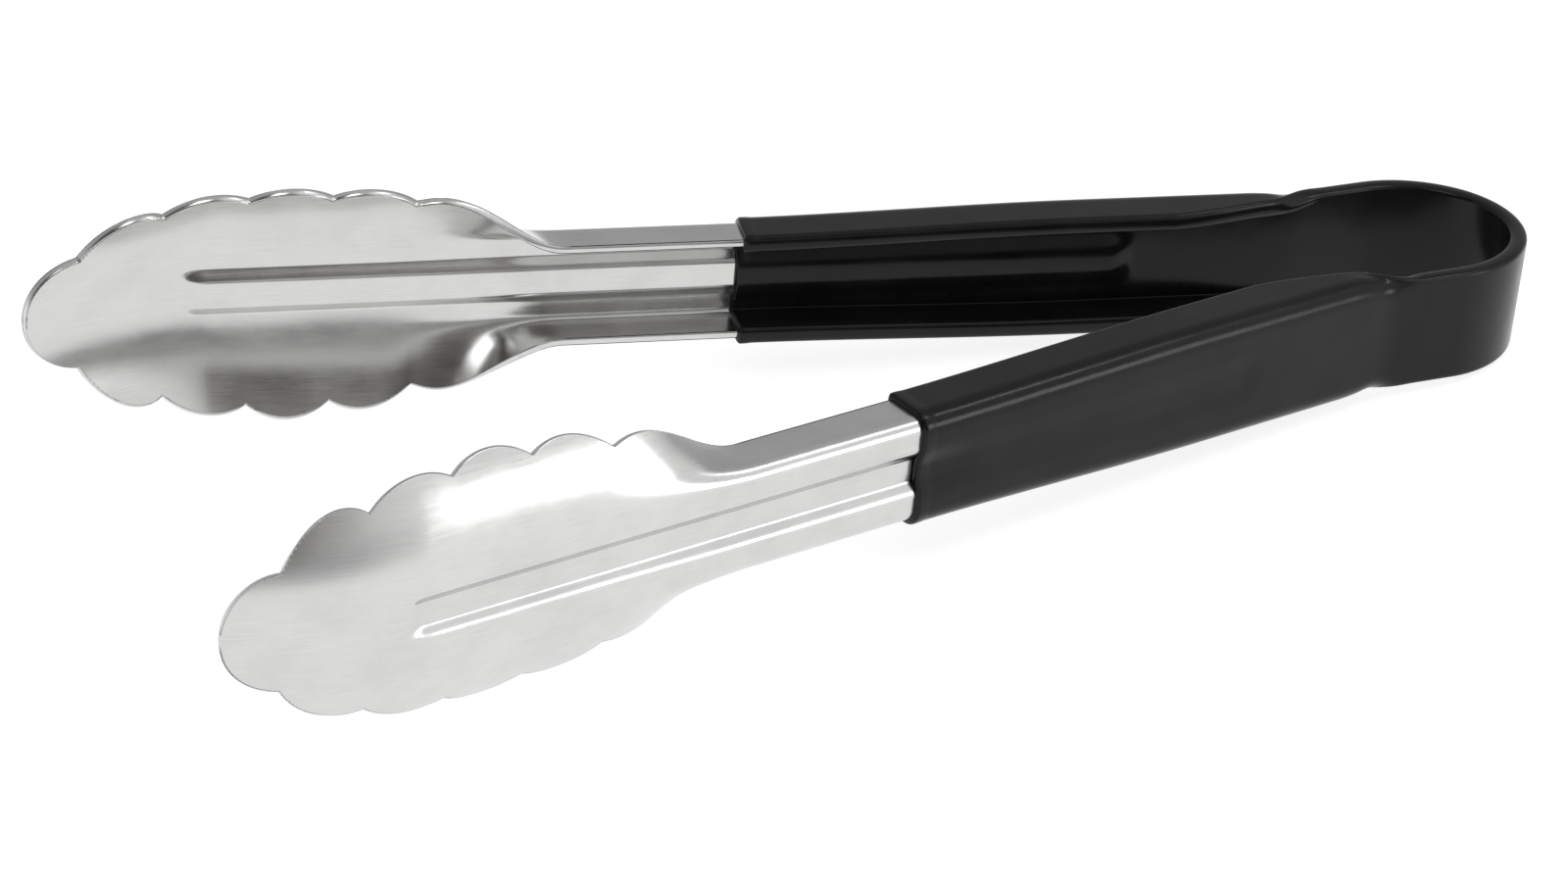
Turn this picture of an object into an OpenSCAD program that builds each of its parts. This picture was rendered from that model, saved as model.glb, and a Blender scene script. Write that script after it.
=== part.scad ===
// Spring tongs: one bent strip of stainless steel with a dipped vinyl grip.
// X runs from the closed bow to the scoops, Y across the opening, Z up.
// The tongs stand on edge; z = 0 is the lowest scallop of the scoops.

/* [Sheet and coating] */
// Thickness of the steel sheet
sheet_t = 1.2; // [0.9:0.1:1.3]
// Thickness of the dipped vinyl coating
coat_t = 0.85; // [0.6:0.05:0.9]

/* [Bow] */
// Half height of the flat spring strip in the bow
strip_hh = 8.9; // [8.4:0.1:9.4]
// Centre line radius at the closed end of the bow
bow_r1 = 14.5; // [13:0.5:17]
// Centre line radius at the shoulders of the bow
bow_r2 = 18.8; // [17:0.2:20]
// Length of the straight sides of the bow
bow_side = 11.4; // [9:0.2:16]
// How much of the straight sides still flexes, as part of the spring
flex_side = 6; // [4:0.5:8]
// Centre line radius where the bow opens out into the arms
bow_r3 = 25; // [15:1:40]
// Angle between each arm and the centre plane, at rest
arm_angle = 11.2; // [9:0.1:12]

/* [Arm] */
// Length of the coated part of each arm, in front of the flexing bow
grip_len = 101.9; // [90:0.5:120]
// Half height of the channel, outer face to centre
web_hh = 8.8; // [8:0.1:9.2]
// Depth of the channel flanges, from the outer face of the web
flange_d = 7.9; // [6:0.1:9]
// Extra half height of the channel in the middle of the grip
grip_swell = 1.0; // [0:0.1:1.4]
// Outer bend radius between web and flange
bend_r = 2.3; // [2.3:0.1:3]
// Length over which the flanges grow out of the flat strip
taper_len = 30; // [22:1:36]
// Depth of the pressed rib
rib_d = 1.35; // [0.8:0.05:1.5]
// Half width of the rib at mid depth
rib_hw = 2.95; // [2.6:0.05:3.3]

/* [Scoop] */
// Length of bare steel in front of the grip
scoop_len = 113.2; // [105:0.5:120]
// Distance from the grip to the start of the flare at the neck
neck_s = 28; // [24:1:32]
// Half width of the scoop at its widest notches
notch_hw = 18.2; // [17:0.2:20]
// Spacing of the scalloped lobes along the edge
lobe_pitch = 13.15; // [12.5:0.05:13.5]
// How far each lobe bulges beyond its notches
lobe_b = 2.1; // [1.5:0.1:2.8]
// Length of the single lobe at the tip
tip_lobe = 8.4; // [7.8:0.1:9]
// Depth of the dish at the notches
dish_d = 5.8; // [4:0.1:7]
// How far the tip curls inward
tip_curl = 8.4; // [6:0.1:10]

/* [Model] */
// Gap between neighbouring links of the bow, which lets it flex
link_gap = 0.2; // [0.14:0.02:0.3]
// Smoothness of the bow
$fn = 96; // [48:8:160]

/* [Hidden] */

// Centre line of the bow: two arcs, a straight side and an opening arc. The first arc
// covers the centre link and one link each side, so no link has two radii.
bow_a1 = (bow_r2 * PI / 2 + flex_side) / (2 * bow_r1 + bow_r2) * 180 / PI;
arc1 = bow_r1 * bow_a1 * PI / 180;
arc2 = bow_r2 * (90 - bow_a1) * PI / 180;
arc3 = bow_r3 * arm_angle * PI / 180;
end1 = arc1;
end2 = end1 + arc2;
end3 = end2 + bow_side;
bow_len = end3 + arc3;
// Nine links share the flexing part of the bow, so one link is this long
flex_len = end2 + flex_side;
link_len = flex_len / 4.5;
// The arm's own path: the rest of the straight side, the opening arc, then straight
side_left = bow_side - flex_side;
bent_len = side_left + arc3;
shoulder_y = bow_r1 * sin(bow_a1) + bow_r2 * (1 - sin(bow_a1));
c1 = [bow_r1, 0];
c2 = [bow_r1 - (bow_r1 - bow_r2) * cos(bow_a1), (bow_r1 - bow_r2) * sin(bow_a1)];
side_x = c2[0];
c3 = [side_x + bow_side, shoulder_y + bow_r3];
arm_start = [c3[0] + bow_r3 * sin(arm_angle), c3[1] - bow_r3 * cos(arm_angle)];

// Helpers
function clamp01(x) = x < 0 ? 0 : (x > 1 ? 1 : x);
function smooth(x) = let (t = clamp01(x)) t * t * (3 - 2 * t);
function mix(a, b, w) = a + (b - a) * w;
function vnorm(v) = v / norm(v);

// Scoop outline. The notches are evenly pitched back from the tip lobe and lie on two
// quarter ellipses that meet at the widest station.
wide_s = scoop_len - tip_lobe - 31.8;
function notch_s(k) = scoop_len - tip_lobe - k * lobe_pitch;
function notch_w(k) = let (d = notch_s(k) - wide_s)
    notch_hw * sqrt(1 - pow(d / (d > 0 ? 37.1 : 44.5), 2));
tip_w = notch_w(0);
tip_r = (tip_w * tip_w + tip_lobe * tip_lobe) / (2 * tip_lobe);
lobe_list = [for (k = [0:3]) [notch_s(k + 1), notch_w(k + 1), notch_s(k), notch_w(k),
                              k == 0 ? lobe_b + 1 : lobe_b]];
neck_lobe = [neck_s, 19, notch_s(4), notch_w(4), 0.9];
// Half width inside one lobe: the chord between its notches plus a circular bulge
function lobe_w(l, s) = let (c = l[2] - l[0], b = l[4], r = (c * c / 4 + b * b) / (2 * b),
                             x = s - (l[0] + l[2]) / 2)
    mix(l[1], l[3], (s - l[0]) / c) + sqrt(max(r * r - x * x, 0)) - (r - b);
function scoop_w(s) =
    s >= notch_s(0) ? sqrt(max(tip_r * tip_r - pow(s - scoop_len + tip_r, 2), 0.0001)) :
    s >= notch_s(1) ? lobe_w(lobe_list[0], s) :
    s >= notch_s(2) ? lobe_w(lobe_list[1], s) :
    s >= notch_s(3) ? lobe_w(lobe_list[2], s) :
    s >= notch_s(4) ? lobe_w(lobe_list[3], s) :
    lobe_w(neck_lobe, max(s, neck_s));

// Middle surface of the sheet. s runs from the front of the grip, u from edge to edge
// (-1 to 1, with the web inside 0.5), rib is the rib's depth and soft widens its walls.
web_z = web_hh - bend_r;
mid_r = bend_r - sheet_t / 2;
// At the neck the flanges first spread apart, then sink into the dish of the scoop
function spread(s) = smooth((s - neck_s - 0.5) / 22);
function flare(s) = smooth((s - neck_s - 3) / 26.5);
function rib_at(s, z, rib, soft) =
    rib * (1 - smooth((abs(z) - rib_hw + 1.15 + soft) / (2.3 + 2 * soft)))
    * smooth((s + grip_len - taper_len - 4) / 5) * (1 - smooth((s - scoop_len + 28.5) / 5));
// Bent channel section beyond the flat of the web, as [z, depth]
function channel_pt(s, v) =
    let (g = s + grip_len, th = 90 * smooth((g - 1) / 12),
         t = clamp01((g - 3) / (taper_len - 3)),
         lf = (flange_d - bend_r) * (0.5 * t + 0.5 * smooth(t)),
         ze = mix(strip_hh, web_hh - sheet_t / 2, smooth((g - 1) / 12)) + grip_swell
             * smooth((g - 2) / 14) * (1 - smooth((g - 45) / (grip_len - 45))),
         b = ze - mid_r * sin(th) - lf * cos(th),
         l1 = b - web_z, l2 = mid_r * th * PI / 180, d = v * (l1 + l2 + lf))
    d < l1 ? [web_z + d, 0] :
    d < l1 + l2 ? let (a = (d - l1) / mid_r * 180 / PI)
        [b + mid_r * sin(a), -mid_r * (1 - cos(a))] :
    let (e = d - l1 - l2) [b + mid_r * sin(th) + e * cos(th), -mid_r * (1 - cos(th)) - e * sin(th)];
function dish(s, z) = -tip_curl * pow(clamp01((s - scoop_len + 29.2) / 29.2), 1.7)
    - (dish_d + 1.6 * smooth((s - scoop_len + 33.2) / 25)) * pow(abs(z) / 18.5, 2.2);
function mid_pt(s, u, rib, soft) =
    let (a = abs(u), sg = u < 0 ? -1 : 1, w = flare(s), ws = spread(s), v = clamp01(2 * a - 1),
         in_web = a <= 0.5,
         ca = channel_pt(s, v),
         zb = in_web ? 2 * a * web_z : mix(web_z, s > notch_s(0) ? tip_w : scoop_w(s), v),
         zs = s > notch_s(0) ? scoop_w(s) / tip_w : 1,
         z = in_web ? zb * zs : mix(ca[0], zb * zs, ws),
         m = in_web ? w * dish(s, z) : mix(ca[1], dish(s, z), w))
    [s + grip_len, m - rib_at(s, z, rib, soft), sg * z];
function side(u) = u >= 0 ? 1 : -1;
function sheet_n(s, u, rib, soft) =
    let (e = 0.02, u1 = min(u + 0.01, 1), u0 = max(u - 0.01, -1),
         ds = mid_pt(min(s + e, scoop_len - 0.01), u, rib, soft) - mid_pt(max(s - e, -grip_len), u, rib, soft),
         du = mid_pt(s, u1, rib, soft) - mid_pt(s, u0, rib, soft),
         n = cross(du, ds))
    vnorm(n);
function sheet_pt(s, u, off, rib, soft) = mid_pt(s, u, rib, soft) + off * sheet_n(s, u, rib, soft);
function sheet_t_dir(s, u, rib, soft) =
    side(u) * vnorm(mid_pt(s, u, rib, soft) - mid_pt(s, u - side(u) * 0.02, rib, soft)) * side(u);

// Stations along the arm and points across it
web_f = 0.5 / web_z;
half_u = [0, (rib_hw - 0.95) * web_f, rib_hw * web_f, (rib_hw + 0.95) * web_f, 0.5,
          0.56, 0.62, 0.69, 0.84, 1];
all_u = [for (i = [len(half_u) - 1:-1:1]) -half_u[i], for (v = half_u) v];
taper_rows = [for (i = [0:11]) -grip_len + link_gap / 2 + i * (taper_len - link_gap / 2) / 11];
grip_rows = concat(taper_rows, [for (i = [0:2]) -grip_len + taper_len + 4 + i * 2.5], [-0.8, 0]);
neck_rows = [for (i = [0:8]) mix(neck_s, notch_s(4), i / 9)];
lobe_rows = [for (k = [3:-1:0]) for (i = [0:5]) mix(notch_s(k + 1), notch_s(k), [0, 0.1, 0.3, 0.5, 0.7, 0.9][i])];
tip_rows = [for (a = [0:6]) scoop_len - tip_r + tip_r * sin(mix(asin((tip_r - tip_lobe) / tip_r), 86, a / 6))];
arm_rows = concat([for (s = grip_rows) if (s != -0.8) s], neck_rows, lobe_rows, tip_rows);

steel_ring = function (s) concat([for (u = all_u) sheet_pt(s, u, sheet_t / 2, rib_d, 0)],
    [for (i = [len(all_u) - 1:-1:0]) sheet_pt(s, all_u[i], -sheet_t / 2, rib_d, 0)]);
// Outer ring of the coating: the groove is almost bridged outside and the rib is soft inside
function wrap(s, u, k, c) = let (r = sheet_pt(s, u, k * (sheet_t / 2 + 0.5 * c), rib_d, 0))
    r + 0.9 * c * sheet_t_dir(s, u, rib_d, 0);
function coat_ring(s, c) = concat(
    [for (u = all_u) sheet_pt(s, u, sheet_t / 2 + c, rib_d * 0.2, 0.6)],
    [wrap(s, 1, 1, c), wrap(s, 1, -1, c)],
    [for (i = [len(all_u) - 1:-1:0]) sheet_pt(s, all_u[i], -sheet_t / 2 - c, rib_d, 1.1)],
    [wrap(s, -1, -1, c), wrap(s, -1, 1, c)]);

// Closed tube of quads between rings, as triangles
function loop_faces(nr, np, o, flip) = [for (r = [0:nr - 2]) for (i = [0:np - 1])
    let (a = o + r * np + i, b = o + r * np + (i + 1) % np, c = b + np, d = a + np)
    each (flip ? [[a, b, c], [a, c, d]] : [[a, c, b], [a, d, c]])];

m2 = [cos(arm_angle), sin(arm_angle)];
function place(p) =
    p[0] <= side_left ? [side_x + flex_side + p[0], shoulder_y + p[1], p[2]] :
    p[0] <= bent_len ? let (a = (p[0] - side_left) / bow_r3 * 180 / PI)
        [c3[0] + (bow_r3 - p[1]) * sin(a), c3[1] - (bow_r3 - p[1]) * cos(a), p[2]] :
    let (e = p[0] - bent_len)
    [arm_start[0] + e * m2[0] - p[1] * m2[1], arm_start[1] + e * m2[1] + p[1] * m2[0], p[2]];
arm_pts = [for (s = arm_rows) each [for (p = steel_ring(s)) place(p)]];

// Where the part sits: centred in X and Y, with its lowest scallop at z = 0
bow_back = -(sheet_t / 2 + coat_t);
x_front = max([for (p = arm_pts) p[0]]);
z_half = max([for (p = arm_pts) p[2]]);
shift = [-(bow_back + x_front) / 2, 0, z_half];

module steel_arm() {
    np = 2 * len(all_u);
    nu = len(all_u);
    nr = len(arm_rows);
    last = (nr - 1) * np;
    ends = [for (i = [0:nu - 2]) each
        let (a = i, b = i + 1, c = np - 2 - i, d = np - 1 - i)
        [[a, b, c], [a, c, d], [last + a, last + c, last + b], [last + a, last + d, last + c]]];
    translate(shift)
        polyhedron(arm_pts, concat(loop_faces(nr, np, 0, false), ends), convexity = 10);
}

module vinyl_grip() {
    ni = 2 * len(all_u);
    no = ni + 4;
    nu = len(all_u);
    nr = len(grip_rows);
    outer = [for (i = [0:nr - 1]) each [for (p = coat_ring(grip_rows[i],
        i == nr - 1 ? 0.5 * coat_t : coat_t)) place(p)]];
    inner = [for (s = grip_rows) each [for (p = steel_ring(s)) place(p)]];
    o = nr * no;
    // Annular end between the outer ring (with its wrap points) and the steel section
    function om(i) = i < nu ? i : i + 2;
    function cap(a0, b0) = concat(
        [for (i = [0:nu - 2]) each [[a0 + i, a0 + i + 1, b0 + i + 1], [a0 + i, b0 + i + 1, b0 + i]]],
        [for (i = [nu:ni - 2]) each [[a0 + i + 2, a0 + i + 3, b0 + i + 1], [a0 + i + 2, b0 + i + 1, b0 + i]]],
        [[a0 + nu - 1, a0 + nu, b0 + nu - 1], [a0 + nu, a0 + nu + 1, b0 + nu - 1],
         [a0 + nu + 1, b0 + nu, b0 + nu - 1], [a0 + nu + 1, a0 + nu + 2, b0 + nu],
         [a0 + no - 3, a0 + no - 2, b0 + ni - 1], [a0 + no - 2, a0 + no - 1, b0 + ni - 1],
         [a0 + no - 1, b0, b0 + ni - 1], [a0 + no - 1, a0, b0]]);
    start = cap(0, o);
    front = [for (f = cap((nr - 1) * no, o + (nr - 1) * ni)) [f[0], f[2], f[1]]];
    translate(shift)
        polyhedron(concat(outer, inner), concat(loop_faces(nr, no, 0, false),
            loop_faces(nr, ni, o, true), start, front), convexity = 10);
}

// Sections of the bow, centred on the centre line
module strip_section() square([sheet_t, 2 * strip_hh], center = true);
module sleeve_section() {
    w = sheet_t / 2 + coat_t;
    h = strip_hh + coat_t;
    k = 0.45;
    difference() {
        polygon([[-w + k, -h], [w - k, -h], [w, -h + k], [w, h - k], [w - k, h],
                 [-w + k, h], [-w, h - k], [-w, -h + k]]);
        square([sheet_t, 2 * strip_hh], center = true);
    }
}

// A piece of arc of the centre line, swept from angle a to angle b about the centre c
module arc_piece(c, r, a, b)
    translate([c[0], c[1], 0]) rotate([0, 0, a])
        rotate_extrude(angle = b - a) translate([r, 0]) children();
// A straight piece along X at height y
module side_piece(x0, x1, y)
    translate([x0, y, 0]) rotate([90, 0, 90]) linear_extrude(x1 - x0) children();

// The bow between two distances along the centre line, measured from the closed end
module bow_run(from, to) {
    deg = 180 / PI;
    if (from < end1) {
        b = min(to, end1);
        arc_piece(c1, bow_r1, 180 - b / bow_r1 * deg, 180 - from / bow_r1 * deg) children();
    }
    if (to > end1 && from < end2) {
        a = max(from, end1) - end1;
        b = min(to, end2) - end1;
        arc_piece(c2, bow_r2, 180 - bow_a1 - b / bow_r2 * deg, 180 - bow_a1 - a / bow_r2 * deg) children();
    }
    if (to > end2 && from < end3)
        side_piece(side_x + max(from, end2) - end2, side_x + min(to, end3) - end2, shoulder_y) children();
    if (to > end3) {
        a = max(from, end3) - end3;
        b = min(to, bow_len) - end3;
        arc_piece(c3, bow_r3, -90 + a / bow_r3 * deg, -90 + b / bow_r3 * deg) children();
    }
}

module center_piece() {
    b = (link_len - link_gap) / 2 / bow_r1 * 180 / PI;
    translate(shift) arc_piece(c1, bow_r1, 180 - b, 180 + b) children();
}
module link_piece(k)
    translate(shift) bow_run((k - 0.5) * link_len + link_gap / 2, (k + 0.5) * link_len - link_gap / 2) children();
module rear() mirror([0, 1, 0]) children();

module bow_strip(k) color("gainsboro") link_piece(k) strip_section();
module bow_sleeve(k) color([0.12, 0.12, 0.13]) link_piece(k) sleeve_section();
module bow_strip_center() color("gainsboro") center_piece() strip_section();
module bow_sleeve_center() color([0.12, 0.12, 0.13]) center_piece() sleeve_section();
module arm() color("silver") steel_arm();
module grip() color([0.12, 0.12, 0.13]) vinyl_grip();

bow_strip_center();
bow_sleeve_center();
bow_strip(1);  // front_bow_strip_1
bow_strip(2);  // front_bow_strip_2
bow_strip(3);  // front_bow_strip_3
bow_strip(4);  // front_bow_strip_4
rear() bow_strip(1);  // rear_bow_strip_1
rear() bow_strip(2);  // rear_bow_strip_2
rear() bow_strip(3);  // rear_bow_strip_3
rear() bow_strip(4);  // rear_bow_strip_4
bow_sleeve(1);  // front_bow_sleeve_1
bow_sleeve(2);  // front_bow_sleeve_2
bow_sleeve(3);  // front_bow_sleeve_3
bow_sleeve(4);  // front_bow_sleeve_4
rear() bow_sleeve(1);  // rear_bow_sleeve_1
rear() bow_sleeve(2);  // rear_bow_sleeve_2
rear() bow_sleeve(3);  // rear_bow_sleeve_3
rear() bow_sleeve(4);  // rear_bow_sleeve_4
arm();  // front_arm
rear() arm();  // rear_arm
grip();  // front_grip
rear() grip();  // rear_grip
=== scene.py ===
import math

import bpy
import numpy as np
from mathutils import Matrix, Vector

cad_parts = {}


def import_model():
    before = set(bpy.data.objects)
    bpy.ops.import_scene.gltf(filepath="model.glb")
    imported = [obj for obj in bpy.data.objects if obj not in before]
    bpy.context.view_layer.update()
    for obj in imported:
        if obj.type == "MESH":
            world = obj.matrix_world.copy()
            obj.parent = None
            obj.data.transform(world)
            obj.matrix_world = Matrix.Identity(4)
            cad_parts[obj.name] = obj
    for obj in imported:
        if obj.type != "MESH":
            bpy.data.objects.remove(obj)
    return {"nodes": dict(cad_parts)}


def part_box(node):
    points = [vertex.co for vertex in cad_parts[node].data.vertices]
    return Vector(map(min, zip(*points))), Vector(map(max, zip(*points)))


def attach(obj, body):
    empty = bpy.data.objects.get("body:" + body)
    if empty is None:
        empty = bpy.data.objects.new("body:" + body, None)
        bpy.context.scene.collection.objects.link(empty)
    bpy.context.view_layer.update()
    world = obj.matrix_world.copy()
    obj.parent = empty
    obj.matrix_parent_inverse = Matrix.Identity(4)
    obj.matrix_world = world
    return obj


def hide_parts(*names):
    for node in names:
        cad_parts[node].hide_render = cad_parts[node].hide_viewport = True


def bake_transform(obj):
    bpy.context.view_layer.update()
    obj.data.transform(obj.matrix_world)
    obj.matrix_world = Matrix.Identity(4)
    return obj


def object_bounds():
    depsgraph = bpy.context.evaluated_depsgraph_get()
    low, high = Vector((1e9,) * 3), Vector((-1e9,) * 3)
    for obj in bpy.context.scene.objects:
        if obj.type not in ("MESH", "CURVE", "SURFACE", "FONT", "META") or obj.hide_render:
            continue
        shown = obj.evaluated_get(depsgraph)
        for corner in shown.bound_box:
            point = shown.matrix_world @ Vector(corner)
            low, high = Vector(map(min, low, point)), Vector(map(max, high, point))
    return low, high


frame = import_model()
cad_lo, cad_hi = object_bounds()

# ------------------------------------------------------------------ design sizes, mm
T, C = 1.2, 0.85
R1, R2, SIDE, FLEX, R3 = 14.5, 18.8, 11.4, 6.0, 25.0
AL = math.radians(11.2)
GRIP, WEB, STRIP, FLANGE, BEND, TAPER, RIB, RIBW = 101.9, 8.8, 8.9, 7.9, 2.3, 30.0, 1.35, 2.95
SWELL = 1.0
SCOOP, NECK, NOTCH, PITCH, LOBE, TIPL, DISH, CURL = 113.2, 28.0, 18.2, 13.15, 2.1, 8.4, 5.8, 8.4

A1 = (R2 * math.pi / 2 + FLEX) / (2 * R1 + R2)
END1 = R1 * A1
END2 = END1 + R2 * (math.pi / 2 - A1)
END3 = END2 + SIDE
BOW = END3 + R3 * AL
FLEXLEN = END2 + FLEX
LINK = FLEXLEN / 4.5
SHY = R1 * math.sin(A1) + R2 * (1 - math.sin(A1))
C2 = np.array([R1 - (R1 - R2) * math.cos(A1), (R1 - R2) * math.sin(A1)])
C3 = np.array([C2[0] + SIDE, SHY + R3])
ARM0 = np.array([C3[0] + R3 * math.sin(AL), C3[1] - R3 * math.cos(AL)])

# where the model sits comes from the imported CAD
sleeve_lo, sleeve_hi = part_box("bow_sleeve_center")
SHIFT_X = sleeve_lo[0] * 1000 + T / 2 + C
ZMID = (cad_lo[2] + cad_hi[2]) / 2 * 1000

WEBZ = WEB - BEND
MIDR = BEND - T / 2
NS = [SCOOP - TIPL - k * PITCH for k in range(5)]
WIDE = SCOOP - TIPL - 31.8


def smooth(x):
    t = np.clip(x, 0, 1)
    return t * t * (3 - 2 * t)


def mix(a, b, w):
    return a + (b - a) * w


def notch_w(s):
    d = s - WIDE
    return NOTCH * math.sqrt(1 - (d / (37.1 if d > 0 else 44.5)) ** 2)


NW = [notch_w(s) for s in NS]
TIPW = NW[0]
TIPR = (TIPW ** 2 + TIPL ** 2) / (2 * TIPL)
LOBES = [(NECK, 19.0, NS[4], NW[4], 0.9)] + [
    (NS[k + 1], NW[k + 1], NS[k], NW[k], LOBE + 1 if k == 0 else LOBE) for k in (3, 2, 1, 0)]


def lobe_w(l, s):
    c, b = l[2] - l[0], l[4]
    r = (c * c / 4 + b * b) / (2 * b)
    x = s - (l[0] + l[2]) / 2
    return mix(l[1], l[3], (s - l[0]) / c) + np.sqrt(np.maximum(r * r - x * x, 0)) - (r - b)


def scoop_w(s):
    s = np.maximum(np.asarray(s, float), NECK)
    out = lobe_w(LOBES[0], s)
    for i, l in enumerate(LOBES[1:]):
        out = np.where(s >= l[0], lobe_w(l, s), out)
    tip = np.sqrt(np.maximum(TIPR ** 2 - (s - SCOOP + TIPR) ** 2, 1e-4))
    return np.where(s >= NS[0], tip, out)


def spread(s):
    return smooth((s - NECK - 0.5) / 22)


def flare(s):
    return smooth((s - NECK - 3) / 26.5)


def rib_at(s, z, rib, soft):
    return (rib * (1 - smooth((np.abs(z) - RIBW + 1.15 + soft) / (2.3 + 2 * soft)))
            * smooth((s + GRIP - TAPER - 4) / 5) * (1 - smooth((s - SCOOP + 28.5) / 5)))


def dish(s, z):
    return (-CURL * np.clip((s - SCOOP + 29.2) / 29.2, 0, 1) ** 1.7
            - (DISH + 1.6 * smooth((s - SCOOP + 33.2) / 25)) * (np.abs(z) / 18.5) ** 2.2)


def channel(s, v):
    g = s + GRIP
    th = math.pi / 2 * smooth((g - 1) / 12)
    t = np.clip((g - 3) / (TAPER - 3), 0, 1)
    lf = (FLANGE - BEND) * (0.5 * t + 0.5 * smooth(t))
    ze = mix(STRIP, WEB - T / 2, smooth((g - 1) / 12)) + SWELL * smooth((g - 2) / 14) * (1 - smooth((g - 45) / (GRIP - 45)))
    b = ze - MIDR * np.sin(th) - lf * np.cos(th)
    l1, l2 = b - WEBZ, MIDR * th
    d = v * (l1 + l2 + lf)
    a = np.clip((d - l1) / MIDR, 0, None)
    e = d - l1 - l2
    z = np.where(d < l1, WEBZ + d, np.where(d < l1 + l2, b + MIDR * np.sin(a), b + MIDR * np.sin(th) + e * np.cos(th)))
    m = np.where(d < l1, 0, np.where(d < l1 + l2, -MIDR * (1 - np.cos(a)), -MIDR * (1 - np.cos(th)) - e * np.sin(th)))
    return z, m


def mid(s, u, rib=RIB, soft=0.0):
    """Middle surface of the sheet: path distance, depth and height for station s and position u across."""
    s, u = np.broadcast_arrays(np.asarray(s, float), np.asarray(u, float))
    a, sg, w = np.abs(u), np.where(u < 0, -1.0, 1.0), flare(s)
    v = np.clip(2 * a - 1, 0, 1)
    web = a <= 0.5
    cz, cm = channel(s, v)
    zb = np.where(web, 2 * a * WEBZ, mix(WEBZ, np.where(s > NS[0], TIPW, scoop_w(s)), v))
    zs = np.where(s > NS[0], scoop_w(s) / TIPW, 1.0)
    z = np.where(web, zb * zs, mix(cz, zb * zs, spread(s)))
    m = np.where(web, w * dish(s, z), mix(cm, dish(s, z), w))
    return np.stack([s + GRIP, m - rib_at(s, z, rib, soft), sg * z], -1)


def tip_mid(s, z, rib=RIB, soft=0.0):
    s, z = np.broadcast_arrays(np.asarray(s, float), np.asarray(z, float))
    return np.stack([s + GRIP, dish(s, z) - rib_at(s, z, rib, soft), z], -1)


def unit(v):
    return v / np.maximum(np.linalg.norm(v, axis=-1, keepdims=True), 1e-12)


def normal(s, u, rib=RIB, soft=0.0):
    ds = mid(s + 0.02, u, rib, soft) - mid(np.asarray(s) - 0.02, u, rib, soft)
    du = mid(s, np.minimum(np.asarray(u) + 0.005, 1), rib, soft) - mid(s, np.maximum(np.asarray(u) - 0.005, -1), rib, soft)
    return unit(np.cross(du, ds))


def tip_normal(s, z):
    e = 0.02
    ds = tip_mid(s + e, z) - tip_mid(s - e, z)
    dz = tip_mid(s, z + e) - tip_mid(s, z - e)
    return unit(np.cross(dz, ds))


def path(p):
    """(path distance from where the arm starts, depth, height) in mm to the row frame in metres, front side.
    A distance below 0 runs back round the bow."""
    d, m, z = p[..., 0] + FLEXLEN, p[..., 1], p[..., 2]
    th = np.select(
        [d < END1, d < END2, d < END3, d < BOW],
        [math.pi / 2 - d / R1, math.pi / 2 - A1 - (d - END1) / R2, 0 * d, (d - END3) / R3], AL)
    x = np.select(
        [d < END1, d < END2, d < END3, d < BOW],
        [R1 - R1 * np.sin(th), C2[0] - R2 * np.sin(th), C2[0] + d - END2, C3[0] + R3 * np.sin(th)],
        ARM0[0] + (d - BOW) * math.cos(AL))
    y = np.select(
        [d < END1, d < END2, d < END3, d < BOW],
        [R1 * np.cos(th), C2[1] + R2 * np.cos(th), SHY + 0 * d, C3[1] - R3 * np.cos(th)],
        ARM0[1] + (d - BOW) * math.sin(AL))
    return np.stack([x - m * np.sin(th) + SHIFT_X, y + m * np.cos(th), z + ZMID], -1) * 0.001


# ------------------------------------------------------------------ mesh helpers
def make(name, verts, faces, uv, side, mat):
    """A mesh object. side -1 mirrors it across the centre plane."""
    v = np.array(verts, float)
    if side < 0:
        v[:, 1] *= -1
        faces = [f[::-1] for f in faces]
    me = bpy.data.meshes.new(name)
    me.from_pydata([tuple(p) for p in v], [], faces)
    me.polygons.foreach_set("use_smooth", [True] * len(me.polygons))
    lay = me.uv_layers.new(name="UVMap")
    idx = np.zeros(len(me.loops), np.int32)
    me.loops.foreach_get("vertex_index", idx)
    lay.data.foreach_set("uv", np.array(uv, np.float32)[idx].ravel())
    me.materials.append(mat)
    me.update()
    ob = bpy.data.objects.new(name, me)
    bpy.context.scene.collection.objects.link(ob)
    return ob


def columns():
    z = [0, 0.5, 1.0, 1.4, 1.65, 1.85, 2.05, 2.25, 2.5, 2.75, 3.0, 3.25, 3.5, 3.7, 3.9, 4.1, 4.4, 4.9, 5.5, 6.1]
    u = [zz / WEBZ / 2 for zz in z]
    v = list(np.linspace(0, 0.4, 12)) + list(np.linspace(0.4, 0.955, 15))[1:] + [0.975, 0.99, 1.0]
    u += [0.5 + vv / 2 for vv in v]
    return np.array([-x for x in u[:0:-1]] + u)


US = columns()
NU = len(US)
EDGE_N = 5


def edge_profile(n, q=0.62):
    """Points round a sheet edge from the outer face (excluded) to the inner face (excluded): (along, through)."""
    out = []
    for i in range(1, n + 1):
        a = math.pi / 2 - math.pi * i / (n + 1)
        out.append((abs(math.cos(a)) ** q, math.copysign(abs(math.sin(a)) ** q, math.sin(a))))
    return out


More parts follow.
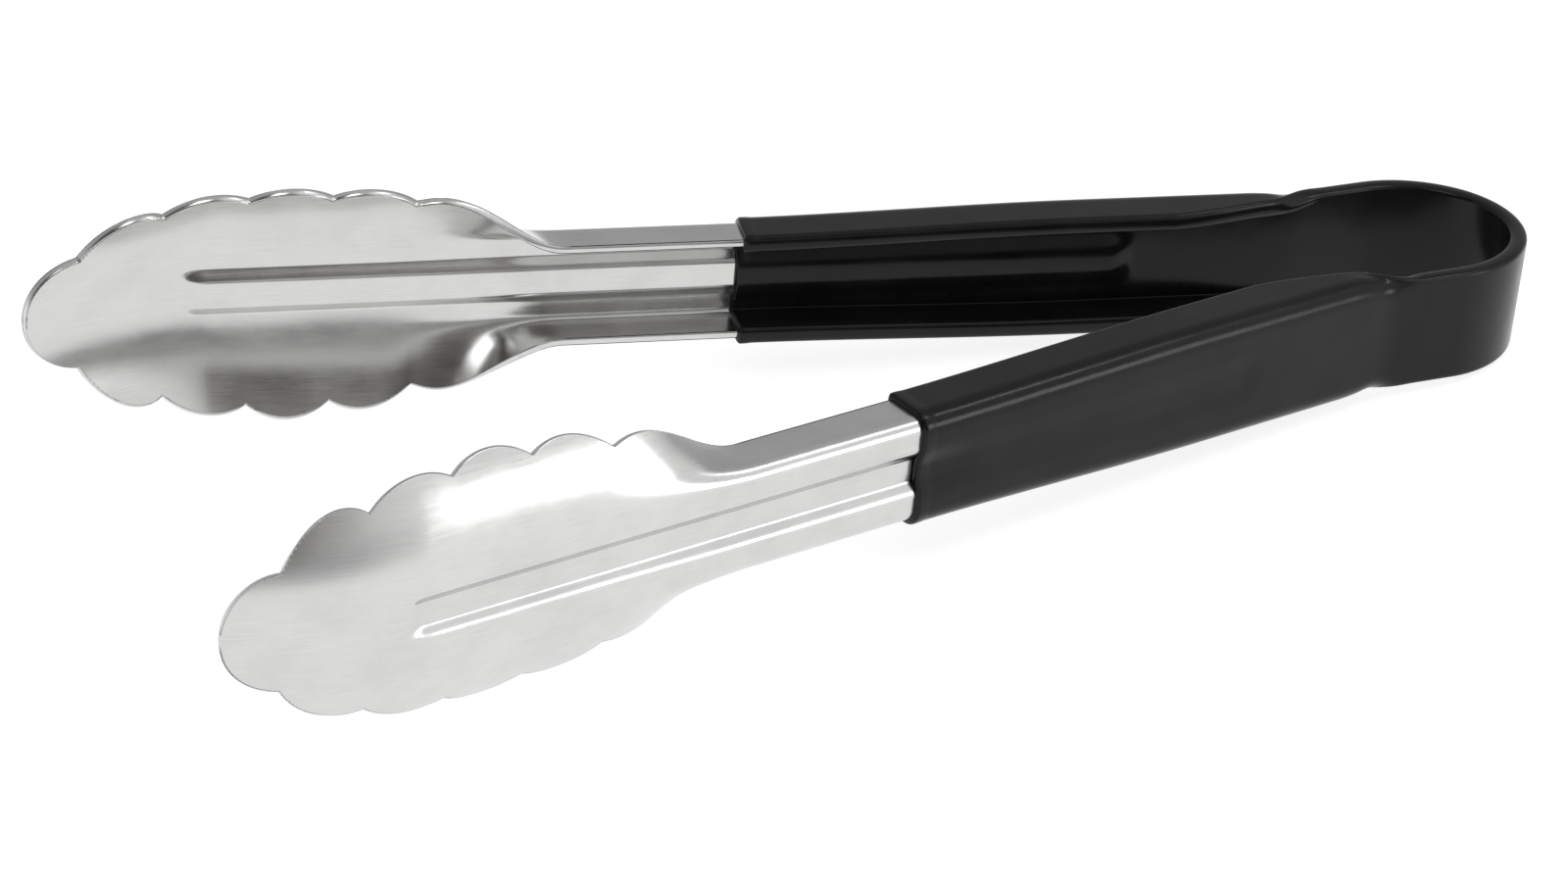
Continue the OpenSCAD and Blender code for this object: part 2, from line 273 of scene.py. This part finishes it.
# ------------------------------------------------------------------ steel arm
def steel_arm(name, side, mat):
    rows = ([0.1 - GRIP, 0.6 - GRIP] + [g - GRIP for g in np.arange(1.5, TAPER + 4, 1.25)]
            + [g - GRIP for g in np.arange(TAPER + 4.4, TAPER + 9.5, 0.6)]
            + list(np.linspace(-GRIP + TAPER + 11, -1.0, 16))
            + list(np.linspace(0, NECK - 1, 16))
            + list(np.arange(NECK, NS[4] - 0.3, 0.6)))
    for k in (4, 3, 2, 1):
        x = np.linspace(0, 1, 23)[:-1]
        rows += list(NS[k] + PITCH * (0.5 - 0.5 * np.cos(math.pi * x)) * 0.5 + PITCH * x * 0.5)
    rows.append(NS[0])
    rows = np.array(rows)
    S, U = np.meshgrid(rows, US, indexing="ij")
    P, N = mid(S, U), normal(np.minimum(S, NS[0] - 0.021), U)
    N[-1] = tip_normal(np.full(NU, NS[0]), P[-1, :, 2])
    nr = len(rows)
    half = (NU - 1) // 2
    f = 2 * np.abs(US[half + 1:])
    fr = np.where(f <= 1, f * WEBZ / TIPW, (WEBZ + (f - 1) * (TIPW - WEBZ)) / TIPW)
    phis = np.linspace(math.pi / 2, -math.pi / 2, 49)[1:-1]
    dd = NS[0] - (SCOOP - TIPR)
    rho = -dd * np.cos(phis) + np.sqrt(TIPR ** 2 - (dd * np.sin(phis)) ** 2)
    FS = NS[0] + fr[None, :] * (rho * np.cos(phis))[:, None]
    FZ = fr[None, :] * (rho * np.sin(phis))[:, None]
    FP, FN = tip_mid(FS, FZ), tip_normal(FS, FZ)
    nj, nk = FP.shape[:2]
    # boundary loop: up the + edge, round the tip, back down the - edge
    EP = np.concatenate([P[:, -1], FP[:, -1], P[::-1, 0]])
    EN = np.concatenate([N[:, -1], FN[:, -1], N[::-1, 0]])
    nb = len(EP)
    fwd = np.vstack([EP[1:] - EP[:-1], EP[-1:] - EP[-2:-1]])
    bwd = np.vstack([EP[1:2] - EP[:1], EP[1:] - EP[:-1]])
    tau = unit(unit(fwd) + unit(bwd))
    con = unit(np.cross(tau, EN))
    if np.dot(con[5], [0, -1, 0]) < 0:
        con = -con
    re = 0.3
    P[:, -1] -= re * con[:nr]
    FP[:, -1] -= re * con[nr:nr + nj]
    P[:, 0] -= re * con[nr + nj:][::-1]
    base = np.concatenate([P[:, -1], FP[:, -1], P[::-1, 0]])
    verts, uv = [], []

    def add(pts, au):
        k = len(verts)
        verts.extend(pts.reshape(-1, 3))
        uv.extend(au.reshape(-1, 2))
        return k

    arc = np.cumsum(np.linalg.norm(np.diff(P, axis=1, prepend=P[:, :1]), axis=-1), axis=1)
    arc -= arc[:, half:half + 1]
    AUV = np.stack([S, arc], -1)
    FUV = np.stack([FS, FZ], -1)
    o_grid = add(path(P + T / 2 * N), AUV)
    o_fan = add(path(FP + T / 2 * FN), FUV)
    i_grid = add(path(P - T / 2 * N), AUV)
    i_fan = add(path(FP - T / 2 * FN), FUV)
    prof = edge_profile(EDGE_N)
    EUV = np.concatenate([AUV[:, -1], FUV[:, -1], AUV[::-1, 0]])
    e0 = add(np.stack([path(base + re * a * con + T / 2 * b * EN) for a, b in prof], 1),
             np.repeat(EUV[:, None], EDGE_N, 1))
    faces = []

    def grid(o, flip):
        for r in range(nr - 1):
            for c in range(NU - 1):
                a, b = o + r * NU + c, o + r * NU + c + 1
                q = (a, b, b + NU, a + NU)
                faces.append(q if not flip else q[::-1])

    def fan(og, of, flip):
        last = og + (nr - 1) * NU
        ray = lambda j: ([last + half] + [last + half + 1 + k for k in range(nk)] if j < 0 else
                         [last + half] + [last + half - 1 - k for k in range(nk)] if j >= nj else
                         [last + half] + [of + j * nk + k for k in range(nk)])
        for j in range(-1, nj):
            a, b = ray(j), ray(j + 1)
            t = (a[0], a[1], b[1])
            faces.append(t if not flip else t[::-1])
            for k in range(1, nk):
                q = (a[k], a[k + 1], b[k + 1], b[k])
                faces.append(q if not flip else q[::-1])

    grid(o_grid, False), fan(o_grid, o_fan, False)
    grid(i_grid, True), fan(i_grid, i_fan, True)

    def bound(og, of, i):
        return (og + i * NU + NU - 1 if i < nr else of + (i - nr) * nk + nk - 1 if i < nr + nj
                else og + (nr - 1 - (i - nr - nj)) * NU)

    for i in range(nb - 1):
        la = [bound(o_grid, o_fan, i)] + [e0 + i * EDGE_N + k for k in range(EDGE_N)] + [bound(i_grid, i_fan, i)]
        lb = [bound(o_grid, o_fan, i + 1)] + [e0 + (i + 1) * EDGE_N + k for k in range(EDGE_N)] + [bound(i_grid, i_fan, i + 1)]
        for k in range(EDGE_N + 1):
            faces.append((la[k], la[k + 1], lb[k + 1], lb[k]))
    for c in range(NU - 1):
        faces.append((o_grid + c + 1, o_grid + c, i_grid + c, i_grid + c + 1))
    faces.append((o_grid + NU - 1, i_grid + NU - 1) + tuple(e0 + k for k in range(EDGE_N))[::-1])
    l = nb - 1
    faces.append((i_grid, o_grid) + tuple(e0 + l * EDGE_N + k for k in range(EDGE_N)))
    ob = make(name, verts, faces, np.array(uv) * 0.01, side, mat)
    return ob


# ------------------------------------------------------------------ vinyl coating
WRAP_N = 9


def coat_loop(s, c, shift=0.0):
    """Outer loop and steel-side loop of the coating at one station, both with the same number of points."""
    u = US
    su = np.full(NU, s)
    dip = RIB * (0.14 + 0.5 * float(smooth((s + 13) / 12.5)))
    out = mid(su, u, dip, 0.9) + (T / 2 + c) * normal(su, u, dip, 0.9)
    inn = mid(su, u, RIB, 1.1) - (T / 2 + c) * normal(su, u, RIB, 1.1)
    e = {}
    for sg in (1, -1):
        b, n = mid(s, sg * 1.0), normal(s, sg * 1.0)
        t = unit(b - mid(s, sg * 0.98))
        e[sg] = (b, n, t)
    prof = edge_profile(WRAP_N, 0.85)

    def wrap(sg, th, ext, off=0.0):
        b, n, t = e[sg]
        pts = np.array([b + t * (ext * a) + n * (th * q) for a, q in prof])
        return pts if sg > 0 else pts[::-1]

    outer = np.concatenate([out, wrap(1, T / 2 + c, max(c, 0.05)), inn[::-1], wrap(-1, T / 2 + c, max(c, 0.05))])
    so = mid(su, u) + (T / 2 + 0.01) * normal(su, u)
    si = mid(su, u) - (T / 2 + 0.01) * normal(su, u)
    inner = np.concatenate([so, wrap(1, T / 2 + 0.01, 0.02), si[::-1], wrap(-1, T / 2 + 0.01, 0.02)])
    return outer, inner


def vinyl(name, stations, side, mat, lip=False, lap=False):
    """A closed stretch of the coating between stations (path distance from the grip's front, mm).
    With lap the first station tucks in under the stretch before it."""
    outs, inns, auv = [], [], []
    for r, s in enumerate(stations):
        c = C - 0.04 if lap and r == 0 else C
        if lip:
            c *= 1 + 0.10 * smooth((s + 2.6) / 1.3)
            k = (s + 0.62) / 0.62
            if k > 0:
                c = 0.04 + (c - 0.04) * math.sqrt(max(1 - k * k, 0))
        o, i = coat_loop(s, c)
        if lip and s > -6:
            w = float(smooth((s + 6) / 5))
            n = len(o)
            a = np.arange(n) / n * 2 * math.pi
            o[:, 0] += w * (0.10 * np.sin(2 * a + 1.1) + 0.06 * np.sin(5 * a + 0.4) + 0.03 * np.sin(11 * a))
            i[:, 0] = o[:, 0]
        d = np.linalg.norm(np.diff(o, axis=0, prepend=o[:1]), axis=1)
        arc = np.cumsum(d)
        outs.append(path(o)), inns.append(path(i))
        auv.append(np.stack([np.full(len(o), s), arc - arc[(NU - 1) // 2]], -1))
    nr, n = len(stations), len(outs[0])
    verts = np.concatenate([np.array(outs).reshape(-1, 3), np.array(inns).reshape(-1, 3)])
    uv = np.concatenate([np.array(auv).reshape(-1, 2)] * 2)
    h = nr * n
    faces = []
    for r in range(nr - 1):
        for i in range(n):
            j = (i + 1) % n
            a, b = r * n + i, r * n + j
            faces.append((a, b, b + n, a + n))
            a, b = h + a, h + b
            faces.append((a + n, b + n, b, a))
    for i in range(n):
        j = (i + 1) % n
        faces.append((j, i, h + i, h + j))
        k = (nr - 1) * n
        faces.append((k + i, k + j, h + k + j, h + k + i))
    ob = make(name, verts, faces, uv * 0.01, side, mat)
    # surface normals from the shape itself, so that neighbouring stretches shade as one skin
    me = ob.data
    nv = len(me.vertices)
    O = np.array(outs)
    du = np.roll(O, -1, 1) - np.roll(O, 1, 1)
    ds = np.zeros_like(O)
    for r, s in enumerate(stations):
        if lip and s > -7:
            a, b = O[max(r - 1, 0)], O[min(r + 1, nr - 1)]
        else:
            a, b = path(coat_loop(s - 0.05, C)[0]), path(coat_loop(s + 0.05, C)[0])
        ds[r] = b - a
    N = unit(np.cross(du, ds)).reshape(-1, 3)
    N = np.concatenate([N, -N])
    if side < 0:
        N[:, 1] *= -1
    idx = np.zeros(len(me.loops), np.int32)
    me.loops.foreach_get("vertex_index", idx)
    LN = N[idx]
    cap0 = 2 * (nr - 1) * n
    for p in range(cap0, len(me.polygons)):
        pl = me.polygons[p]
        if lip and (p - cap0) % 2 == 1:
            continue
        LN[list(pl.loop_indices)] = np.array(pl.normal)
    me.normals_split_custom_set([tuple(x) for x in LN])
    return ob


# ------------------------------------------------------------------ materials
def nodes_of(name):
    m = bpy.data.materials.new(name)
    m.use_nodes = True
    nt = m.node_tree
    nt.nodes.clear()
    out = nt.nodes.new("ShaderNodeOutputMaterial")
    p = nt.nodes.new("ShaderNodeBsdfPrincipled")
    nt.links.new(p.outputs[0], out.inputs[0])
    return m, nt, p


def noise(nt, vec, scale, detail=3.0, rough=0.5):
    n = nt.nodes.new("ShaderNodeTexNoise")
    n.inputs["Scale"].default_value = scale
    n.inputs["Detail"].default_value = detail
    n.inputs["Roughness"].default_value = rough
    nt.links.new(vec, n.inputs["Vector"])
    return n.outputs[0]


def mapping(nt, vec, scale, loc=(0, 0, 0)):
    m = nt.nodes.new("ShaderNodeMapping")
    m.inputs["Scale"].default_value = scale
    m.inputs["Location"].default_value = loc
    nt.links.new(vec, m.inputs["Vector"])
    return m.outputs[0]


def math_node(nt, op, a, b):
    n = nt.nodes.new("ShaderNodeMath")
    n.operation = op
    for i, v in enumerate((a, b)):
        if isinstance(v, (int, float)):
            n.inputs[i].default_value = v
        else:
            nt.links.new(v, n.inputs[i])
    return n.outputs[0]


def ranged(nt, v, lo, hi, frm=0.0, to=1.0):
    n = nt.nodes.new("ShaderNodeMapRange")
    n.inputs["From Min"].default_value = frm
    n.inputs["From Max"].default_value = to
    n.inputs["To Min"].default_value = lo
    n.inputs["To Max"].default_value = hi
    nt.links.new(v, n.inputs["Value"])
    return n.outputs[0]


def ramp(nt, v, stops):
    n = nt.nodes.new("ShaderNodeValToRGB")
    e = n.color_ramp.elements
    e[0].position, e[0].color = stops[0][0], (*stops[0][1], 1)
    e[1].position, e[1].color = stops[-1][0], (*stops[-1][1], 1)
    for pos, col in stops[1:-1]:
        x = e.new(pos)
        x.color = (*col, 1)
    nt.links.new(v, n.inputs["Fac"])
    return n.outputs[0]


def bump(nt, height, strength, distance, prev=None):
    n = nt.nodes.new("ShaderNodeBump")
    n.inputs["Strength"].default_value = strength
    n.inputs["Distance"].default_value = distance
    nt.links.new(height, n.inputs["Height"])
    if prev is not None:
        nt.links.new(prev, n.inputs["Normal"])
    return n.outputs[0]


def steel_material():
    m, nt, p = nodes_of("stainless_steel")
    tc = nt.nodes.new("ShaderNodeTexCoord")
    uv, ob = tc.outputs["UV"], tc.outputs["Object"]
    # UV is in units of 100 mm: U along the strip, V across it
    grain = noise(nt, mapping(nt, uv, (14, 900, 1)), 1.0, 4.0, 0.6)
    fine = noise(nt, mapping(nt, uv, (90, 2600, 1), (3.1, 1.7, 0)), 1.0, 2.0, 0.6)
    broad = noise(nt, mapping(nt, ob, (38, 38, 38)), 1.0, 2.0, 0.5)
    blotch = noise(nt, mapping(nt, ob, (120, 120, 120), (0.4, 0.2, 0.9)), 1.0, 4.0, 0.6)
    scratch = noise(nt, mapping(nt, uv, (2.2, 420, 1), (7.7, 0.3, 0)), 1.0, 5.0, 0.72)
    scr = ranged(nt, scratch, 0.0, 1.0, 0.66, 0.74)
    col = ramp(nt, math_node(nt, "ADD", math_node(nt, "MULTIPLY", grain, 0.55), math_node(nt, "MULTIPLY", blotch, 0.45)),
               [(0.30, (0.560, 0.560, 0.556)), (0.52, (0.640, 0.639, 0.634)), (0.72, (0.700, 0.698, 0.692))])
    nt.links.new(col, p.inputs["Base Color"])
    r = math_node(nt, "ADD", ranged(nt, grain, 0.15, 0.235, 0.3, 0.7), ranged(nt, blotch, -0.02, 0.04, 0.3, 0.7))
    r = math_node(nt, "ADD", r, math_node(nt, "MULTIPLY", scr, 0.07))
    nt.links.new(r, p.inputs["Roughness"])
    p.inputs["Metallic"].default_value = 1.0
    p.inputs["Anisotropic"].default_value = 0.35
    b = bump(nt, broad, 0.10, 0.0012)
    b = bump(nt, grain, 0.08, 0.00004, b)
    b = bump(nt, fine, 0.06, 0.00002, b)
    b = bump(nt, scr, 0.05, 0.00002, b)
    nt.links.new(b, p.inputs["Normal"])
    tan = nt.nodes.new("ShaderNodeTangent")
    tan.direction_type = "UV_MAP"
    tan.uv_map = "UVMap"
    nt.links.new(tan.outputs[0], p.inputs["Tangent"])
    return m


def vinyl_material():
    m, nt, p = nodes_of("black_vinyl")
    tc = nt.nodes.new("ShaderNodeTexCoord")
    uv, ob = tc.outputs["UV"], tc.outputs["Object"]
    peel = noise(nt, mapping(nt, ob, (620, 620, 620)), 1.0, 2.0, 0.45)
    pore = noise(nt, mapping(nt, ob, (2600, 2600, 2600), (0.1, 0.7, 0.3)), 1.0, 2.0, 0.5)
    wave = noise(nt, mapping(nt, ob, (75, 75, 75), (0.9, 0.1, 0.5)), 1.0, 2.0, 0.5)
    cloud = noise(nt, mapping(nt, ob, (95, 95, 95), (0.2, 0.6, 0.8)), 1.0, 4.0, 0.6)
    scuff = noise(nt, mapping(nt, uv, (8, 160, 1), (2.3, 0.9, 0)), 1.0, 5.0, 0.7)
    sc = ranged(nt, scuff, 0.0, 1.0, 0.63, 0.76)
    col = ramp(nt, cloud, [(0.3, (0.0055, 0.0055, 0.0060)), (0.7, (0.0095, 0.0095, 0.0100))])
    nt.links.new(col, p.inputs["Base Color"])
    r = math_node(nt, "ADD", ranged(nt, cloud, 0.17, 0.24, 0.3, 0.7), math_node(nt, "MULTIPLY", sc, 0.08))
    r = math_node(nt, "ADD", r, ranged(nt, pore, -0.02, 0.03, 0.35, 0.65))
    nt.links.new(r, p.inputs["Roughness"])
    p.inputs["IOR"].default_value = 1.5
    p.inputs["Specular IOR Level"].default_value = 0.23
    b = bump(nt, wave, 0.22, 0.0007)
    b = bump(nt, peel, 0.10, 0.00006, b)
    b = bump(nt, pore, 0.05, 0.00002, b)
    nt.links.new(b, p.inputs["Normal"])
    return m


STEEL = steel_material()
VINYL = vinyl_material()

# ------------------------------------------------------------------ the tongs
for side, tag in ((1, "front"), (-1, "rear")):
    arm = steel_arm(tag + "_steel_arm", side, STEEL)
    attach(arm, tag + "_arm_assembly")
    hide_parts(tag + "_arm")
    # grip on the arm, from the last cut of the bow to the rolled lip
    lap = 0.15
    st = [-GRIP - lap] + list(np.arange(-GRIP, -GRIP + TAPER + 10, 0.8)) + list(np.linspace(-GRIP + TAPER + 11, -8, 24)) \
        + [-6, -4.5, -3.4, -2.8, -2.4, -2.0, -1.6, -1.3, -1.0, -0.8] \
        + [-0.62 + 0.62 * math.sin(a) for a in np.linspace(0, math.pi / 2, 8)]
    grip = vinyl(tag + "_vinyl_grip", st, side, VINYL, lip=True, lap=True)
    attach(grip, tag + "_arm_assembly")
    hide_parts(tag + "_grip")
    # the skin round the bow: the first stretch is baked in place and attached to no body, the others lap a little and
    # ride their links
    for k in range(4):
        a = 0 if k == 0 else (k + 0.5) * LINK
        b = (k + 1.5) * LINK
        st = list(np.linspace(a, b, 22 if k == 0 else 15) - FLEXLEN - GRIP)
        if k:
            st = [st[0] - lap] + st
        o = vinyl(f"{tag}_vinyl_bow_{k + 1}", st, side, VINYL, lap=k > 0)
        if k == 0:
            pa, pb = (path(np.array([d - FLEXLEN, 0.0, 0.0])) for d in (0.0, LINK))
            pa[1] *= side
            pb[1] *= side
            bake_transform(o)
            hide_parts("bow_sleeve_center", tag + "_bow_sleeve_1")
        else:
            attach(o, f"{tag}_link_{k + 1}")
            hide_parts(f"{tag}_bow_sleeve_{k + 1}")

for name, ob in frame["nodes"].items():
    if ob.hide_render:
        continue
    ob.data.materials.clear()
    ob.data.materials.append(VINYL if "sleeve" in name or "grip" in name else STEEL)


# ------------------------------------------------------------------ floor, lights, camera
def floor_material():
    m, nt, p = nodes_of("studio_floor")
    tc = nt.nodes.new("ShaderNodeTexCoord")
    n = noise(nt, mapping(nt, tc.outputs["Object"], (3, 3, 3)), 1.0, 3.0, 0.5)
    col = ramp(nt, n, [(0.3, (0.34, 0.34, 0.34)), (0.7, (0.36, 0.36, 0.36))])
    nt.links.new(col, p.inputs["Base Color"])
    p.inputs["Roughness"].default_value = 0.85
    p.inputs["Specular IOR Level"].default_value = 0.1
    p.inputs["Emission Color"].default_value = (1, 1, 1, 1)
    p.inputs["Emission Strength"].default_value = 0.85
    return m


def floor():
    """A flat round floor through the lowest scallops and the bow's lower edge."""
    x0, z0 = 0.072, -0.00005
    x1, z1 = sleeve_lo[0], sleeve_lo[2] - 0.00005
    slope = (z1 - z0) / (x1 - x0)
    verts, faces = [(0.0, 0.0, z0 + slope * (0.0 - x0))], []
    rings = (0.1, 0.25, 0.6, 1.4, 3.5, 8.0)
    n = 96
    for r in rings:
        for i in range(n):
            a = 2 * math.pi * i / n
            x, y = r * math.cos(a), r * math.sin(a)
            verts.append((x, y, z0 + slope * (x - x0)))
    for i in range(n):
        faces.append((0, 1 + i, 1 + (i + 1) % n))
        for k in range(len(rings) - 1):
            a, b = 1 + k * n + i, 1 + k * n + (i + 1) % n
            faces.append((a, a + n, b + n, b))
    me = bpy.data.meshes.new("studio_floor")
    me.from_pydata(verts, [], faces)
    me.materials.append(floor_material())
    ob = bpy.data.objects.new("studio_floor", me)
    bpy.context.scene.collection.objects.link(ob)


floor()


def softbox(name, direction, distance, size, power, colour=(1, 1, 1)):
    d = Vector(direction).normalized()
    li = bpy.data.lights.new(name, "AREA")
    li.shape = "RECTANGLE"
    li.size, li.size_y = size
    li.energy = power
    li.color = colour
    ob = bpy.data.objects.new(name, li)
    ob.location = d * distance
    ob.rotation_mode = "QUATERNION"
    ob.rotation_quaternion = d.to_track_quat("Z", "Y")
    bpy.context.scene.collection.objects.link(ob)
    return ob


softbox("key_softbox", (-0.70, 0.66, 0.28), 1.2, (0.32, 0.34), 1.4)
softbox("high_softbox", (-0.50, 0.16, 0.82), 1.3, (0.12, 0.30), 0.9)
softbox("top_softbox", (0.42, 0.36, 0.83), 1.4, (0.60, 0.60), 2.7)


def world():
    """A dim studio: paler low down and on the far side, dark behind the camera."""
    w = bpy.data.worlds.new("studio")
    bpy.context.scene.world = w
    w.use_nodes = True
    nt = w.node_tree
    nt.nodes.clear()
    out = nt.nodes.new("ShaderNodeOutputWorld")
    bg = nt.nodes.new("ShaderNodeBackground")
    nt.links.new(bg.outputs[0], out.inputs[0])
    tc = nt.nodes.new("ShaderNodeTexCoord")
    sep = nt.nodes.new("ShaderNodeSeparateXYZ")
    nt.links.new(tc.outputs["Generated"], sep.inputs[0])
    high = ramp(nt, sep.outputs["Z"], [(0.0, (0.80, 0.80, 0.80)), (0.07, (0.62, 0.62, 0.62)), (0.2, (0.46, 0.46, 0.46)),
                                       (0.6, (0.44, 0.44, 0.44)), (1.0, (0.55, 0.55, 0.55))])
    dot = nt.nodes.new("ShaderNodeVectorMath")
    dot.operation = "DOT_PRODUCT"
    dot.inputs[1].default_value = (0.62, 0.60, 0.50)
    nt.links.new(tc.outputs["Generated"], dot.inputs[0])
    side = ramp(nt, dot.outputs["Value"], [(0.0, (1, 1, 1)), (0.66, (1, 1, 1)), (0.77, (0.34, 0.32, 0.305)),
                                           (1.0, (0.17, 0.16, 0.155))])
    m = nt.nodes.new("ShaderNodeMix")
    m.data_type = "RGBA"
    m.blend_type = "MULTIPLY"
    m.inputs["Factor"].default_value = 1.0
    nt.links.new(high, m.inputs["A"])
    nt.links.new(side, m.inputs["B"])
    nt.links.new(m.outputs["Result"], bg.inputs["Color"])
    # a pale wall beyond the key light
    wall = nt.nodes.new("ShaderNodeVectorMath")
    wall.operation = "DOT_PRODUCT"
    wall.inputs[1].default_value = (-0.62, 0.55, 0.56)
    nt.links.new(tc.outputs["Generated"], wall.inputs[0])
    nt.links.new(ranged(nt, wall.outputs["Value"], 1.0, 2.1, 0.72, 0.93), bg.inputs["Strength"])


world()

# camera at the photo's angle
AZ, EL, ROLL, DIST, FPX = math.radians(153.35), math.radians(29.28), math.radians(4.86), 0.700, 4585.0
back = Vector((math.sin(AZ) * math.cos(EL), -math.cos(AZ) * math.cos(EL), math.sin(EL)))
target = Vector((cad_hi[0] - 0.241 + 0.13318, 0, ZMID * 0.001 - 0.01248))
right = (-back).cross(Vector((0, 0, 1))).normalized()
up = right.cross(-back).normalized()
r2 = math.cos(ROLL) * right + math.sin(ROLL) * up
u2 = -math.sin(ROLL) * right + math.cos(ROLL) * up
cam = bpy.data.cameras.new("camera")
cam.sensor_fit = "HORIZONTAL"
cam.sensor_width = 36.0
cam.lens = FPX * 36.0 / 1600
cam.clip_start, cam.clip_end = 0.05, 50
camera = bpy.data.objects.new("camera", cam)
rot = Matrix((r2, u2, back)).transposed().to_4x4()
camera.matrix_world = Matrix.Translation(target + back * DIST) @ rot
bpy.context.scene.collection.objects.link(camera)
bpy.context.scene.camera = camera
bpy.context.scene.view_settings.view_transform = "Standard"
bpy.context.scene.view_settings.look = "None"
